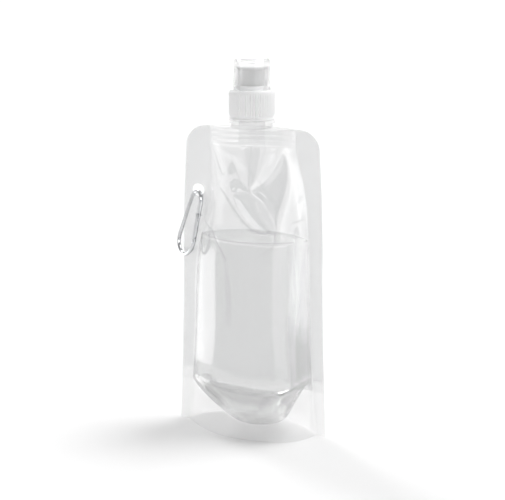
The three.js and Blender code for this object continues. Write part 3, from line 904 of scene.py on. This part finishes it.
def cap_spoke(turn):
    """One of the webs that hold the plug inside the chimney."""
    from_axis, to_chimney, half_thick = 1, 6.9, 0.6
    along = np.array([math.cos(turn), math.sin(turn)])
    side = np.array([-math.sin(turn), math.cos(turn)])
    corners = [
        along * from_axis - side * half_thick,
        along * to_chimney - side * half_thick,
        along * to_chimney + side * half_thick,
        along * from_axis + side * half_thick,
    ]
    points = np.array([(x, y, z) for z in SPOKE for x, y in corners])
    sides = [(k, (k + 1) % 4, 4 + (k + 1) % 4, 4 + k) for k in range(4)]
    return points, sides + [(3, 2, 1, 0), (4, 5, 6, 7)]


def make_screw_cap(material):
    radius, low, high = PLUG
    plug = filleted([(0, low), (radius, low), (radius, high), (0, high)], 0.5)
    shells = [cap_shell(), lathe(plug, 32), helix(CAP_INNER + 0.3, 13.0, 232.7)]
    shells += [cap_spoke(third * 2 * math.pi / 3) for third in range(3)]
    made = joined("screw_cap_ribbed", shells, material)
    stands_for(made, "screw_cap", "closure")


def make_nozzle(material):
    """A flanged foot, a waisted body, a shoulder to grip with the teeth, and a domed top."""
    bottom, top = NOZZLE_BOTTOM, NOZZLE_TOP
    outline = filleted([
        (10.2, bottom), (10.2, bottom + 1.2), (9.85, bottom + 1.6), (9.7, bottom + 2.8),
        (9.7, bottom + 4.0), (9.8, bottom + 4.4), (9.6, top - 4.2), (NOZZLE_SHOULDER, top - 3.2),
        (NOZZLE_SHOULDER, top - 1.9), (10.1, top - 1.4), (6.6, top), (NOZZLE_MOUTH, top),
        (NOZZLE_MOUTH, top - 2.4), (7.25, top - 2.8), (NOZZLE_INNER, top - 3.8), (NOZZLE_INNER, bottom),
    ], 0.3)
    made = joined("nozzle_moulded", [lathe(outline)], material)
    stands_for(made, "push_pull_nozzle", "nozzle")


def make_dust_cap(material):
    """A thin cup upside down, with a lip at its mouth."""
    bottom, top = DUST_CAP_BOTTOM, DUST_CAP_TOP
    outline = filleted([
        (DUST_CAP_INNER, bottom), (DUST_CAP_LIP, bottom), (DUST_CAP_LIP, bottom + 0.7),
        (13.1, bottom + 1.8), (12.85, top - 1.4), (11.5, top), (0, top),
        (0, DUST_CAP_CEILING), (10.9, DUST_CAP_CEILING), (11.9, DUST_CAP_CEILING - 0.9),
    ], 0.4)
    made = joined("dust_cap_clear", [lathe(outline)], material, 50)
    stands_for(made, "dust_cap", "dust_cap")


# ---------- pieces refined from their CAD nodes ----------
def copy_of(cad_node, name, material):
    """A new piece with a CAD node's mesh, its split corners merged."""
    bm = bmesh.new()
    bm.from_mesh(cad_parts[cad_node].data)
    bmesh.ops.remove_doubles(bm, verts=bm.verts, dist=0.000002)
    mesh = bpy.data.meshes.new(name)
    bm.to_mesh(mesh)
    bm.free()
    mesh.materials.clear()
    mesh.materials.append(material)
    made = bpy.data.objects.new(name, mesh)
    bpy.context.scene.collection.objects.link(made)
    return made


def apply_modifiers(made):
    evaluated = made.evaluated_get(bpy.context.evaluated_depsgraph_get())
    mesh = bpy.data.meshes.new_from_object(evaluated)
    made.modifiers.clear()
    made.data = mesh


def rounded_metal(cad_node, name, body, material, voxel, rounds):
    """A tumbled metal piece: the CAD shape remeshed finely, its facets and edges rounded off."""
    made = copy_of(cad_node, name, material)
    remesh = made.modifiers.new("remesh", "REMESH")
    remesh.mode = "VOXEL"
    remesh.voxel_size = voxel * MM
    remesh.use_smooth_shade = True
    smooth = made.modifiers.new("smooth", "SMOOTH")
    smooth.factor = 0.6
    smooth.iterations = rounds
    apply_modifiers(made)
    made.data.polygons.foreach_set("use_smooth", [True] * len(made.data.polygons))
    stands_for(made, cad_node, body)


def make_spout(material):
    """The spout fitment with its flat faces whole and its round parts shaded smooth."""
    made = copy_of("spout_fitment", "spout_moulded", material)
    bm = bmesh.new()
    bm.from_mesh(made.data)
    bmesh.ops.dissolve_limit(bm, angle_limit=math.radians(1), verts=bm.verts, edges=bm.edges)
    bmesh.ops.triangulate(bm, faces=[f for f in bm.faces if len(f.verts) > 4])
    bm.to_mesh(made.data)
    bm.free()
    made.data.polygons.foreach_set("use_smooth", [True] * len(made.data.polygons))
    made.data.set_sharp_from_angle(angle=math.radians(32))
    stands_for(made, "spout_fitment", "pouch")


# ---------- lights and floor ----------
def softbox(name, azimuth, elevation, distance, width, height, radiance, middle):
    """A rectangular light that faces the object and is seen only where it is mirrored."""
    data = bpy.data.lights.new(name, "AREA")
    data.shape = "RECTANGLE"
    data.size = width
    data.size_y = height
    data.energy = radiance * math.pi * width * height
    made = bpy.data.objects.new(name, data)
    bpy.context.scene.collection.objects.link(made)
    facing = direction(azimuth, elevation)
    made.location = Vector((0, 0, middle)) + facing * distance
    made.rotation_mode = "QUATERNION"
    made.rotation_quaternion = facing.to_track_quat("Z", "Y")
    made.visible_diffuse = False
    made.visible_transmission = False
    made.visible_camera = False


def distant_light(name, azimuth, elevation, strength, angle):
    """A far light; the wider its angle, the softer its shadow."""
    data = bpy.data.lights.new(name, "SUN")
    data.energy = strength
    data.angle = math.radians(angle)
    made = bpy.data.objects.new(name, data)
    bpy.context.scene.collection.objects.link(made)
    made.rotation_mode = "QUATERNION"
    made.rotation_quaternion = direction(azimuth, elevation).to_track_quat("Z", "Y")


def make_studio():
    reach = 40000
    corners = [(-reach, -reach, 0), (reach, -reach, 0), (reach, reach, 0), (-reach, reach, 0)]
    floor = add_mesh("floor", corners, [(0, 1, 2, 3)], floor_material())
    floor.location.z = -0.15 * MM  # just clear of the pouch's foot

    distant_light("overhead", 130, 62, 1.8, 30)
    distant_light("from_left", -125, 38, 1.0, 18)

    softbox("left_strip", -97, 0, 0.2, 0.16, 0.17, 2.2, middle=0.03)
    softbox("right_panel", 56, 0, 0.24, 0.17, 0.3, 0.95, middle=0.25)
    softbox("right_low", 56, 0, 0.24, 0.17, 0.1, 0.85, middle=0.05)
    softbox("back_card", 200, 13, 0.6, 0.6, 0.3, 1.1, middle=0.14)
    softbox("top_card", 0, 40, 0.5, 0.5, 0.16, 3.2, middle=0.12)

    world = bpy.data.worlds.new("studio")
    bpy.context.scene.world = world
    world.use_nodes = True
    tree = world.node_tree
    tree.nodes.clear()
    # The room is bright behind the object, darker in front of it, and white down by the floor.
    where = tree.nodes.new("ShaderNodeTexCoord").outputs["Generated"]
    split = tree.nodes.new("ShaderNodeSeparateXYZ")
    tree.links.new(where, split.inputs[0])

    def ramp(source, start, end, low, high):
        made = tree.nodes.new("ShaderNodeMapRange")
        made.interpolation_type = "SMOOTHSTEP"
        for key, value in (("From Min", start), ("From Max", end), ("To Min", low), ("To Max", high)):
            made.inputs[key].default_value = value
        tree.links.new(source, made.inputs["Value"])
        return made.outputs[0]

    room = ramp(split.outputs["Y"], -0.7, 0.6, 0.33, 0.6)
    near_floor = ramp(split.outputs["Z"], 0.16, 0.4, 1.0, 0.0)
    shade = tree.nodes.new("ShaderNodeMix")
    tree.links.new(near_floor, shade.inputs["Factor"])
    tree.links.new(room, shade.inputs["A"])
    shade.inputs["B"].default_value = 1.0
    background = tree.nodes.new("ShaderNodeBackground")
    tree.links.new(shade.outputs["Result"], background.inputs["Color"])
    out = tree.nodes.new("ShaderNodeOutputWorld")
    tree.links.new(background.outputs[0], out.inputs[0])

    bpy.context.scene.view_settings.view_transform = "Standard"


# ---------- everything ----------
make_camera()
make_studio()

film = film_material()
make_film("pouch_front", FRONT, "front_film", film)
make_film("pouch_rear", REAR, "rear_film", film)
make_gusset(film)
make_water(glass_like("water", (0.97, 0.973, 0.976), 1.333, 0.0, 0.2, soft=0.62, straight=0.87))

white = moulded("white_plastic", (0.86, 0.86, 0.865), (0.9, 0.9, 0.9), 0.36, subsurface=0.1)
soft_white = moulded("nozzle_plastic", (0.65, 0.65, 0.65), (0.7, 0.7, 0.7), 0.3, subsurface=0.2)
natural = moulded("natural_plastic", (0.88, 0.88, 0.885), (0.94, 0.94, 0.94), 0.3, clearness=0.74)
clear = glass_like("clear_plastic", (0.985, 0.988, 0.99), 1.47, 0.03, 0.93, soft=0.3, straight=0.97)
foam = moulded("foam", (0.8, 0.8, 0.78), (0.86, 0.86, 0.84), 0.8)
steel = metal("bright_metal", (0.46, 0.465, 0.48), (0.72, 0.73, 0.74), 0.16)
dull_steel = metal("pin_metal", (0.5, 0.51, 0.52), (0.66, 0.67, 0.68), 0.25)

make_screw_cap(white)
make_nozzle(soft_white)
make_dust_cap(clear)
make_spout(natural)
rounded_metal("carabiner_body", "carabiner_rod", "carabiner", steel, 0.16, 10)
rounded_metal("carabiner_gate", "gate_sleeve", "gate", steel, 0.11, 5)
rounded_metal("gate_latch_pin", "latch_rivet", "gate", dull_steel, 0.09, 4)
rounded_metal("gate_hinge_pin", "hinge_rivet", "carabiner", dull_steel, 0.09, 4)

# The pieces that stay as packed.
PACKED = {"cap_liner": foam, "gate_spring": dull_steel, "gate_plunger": dull_steel}
for name, material in PACKED.items():
    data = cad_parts[name].data
    data.materials.clear()
    data.materials.append(material)
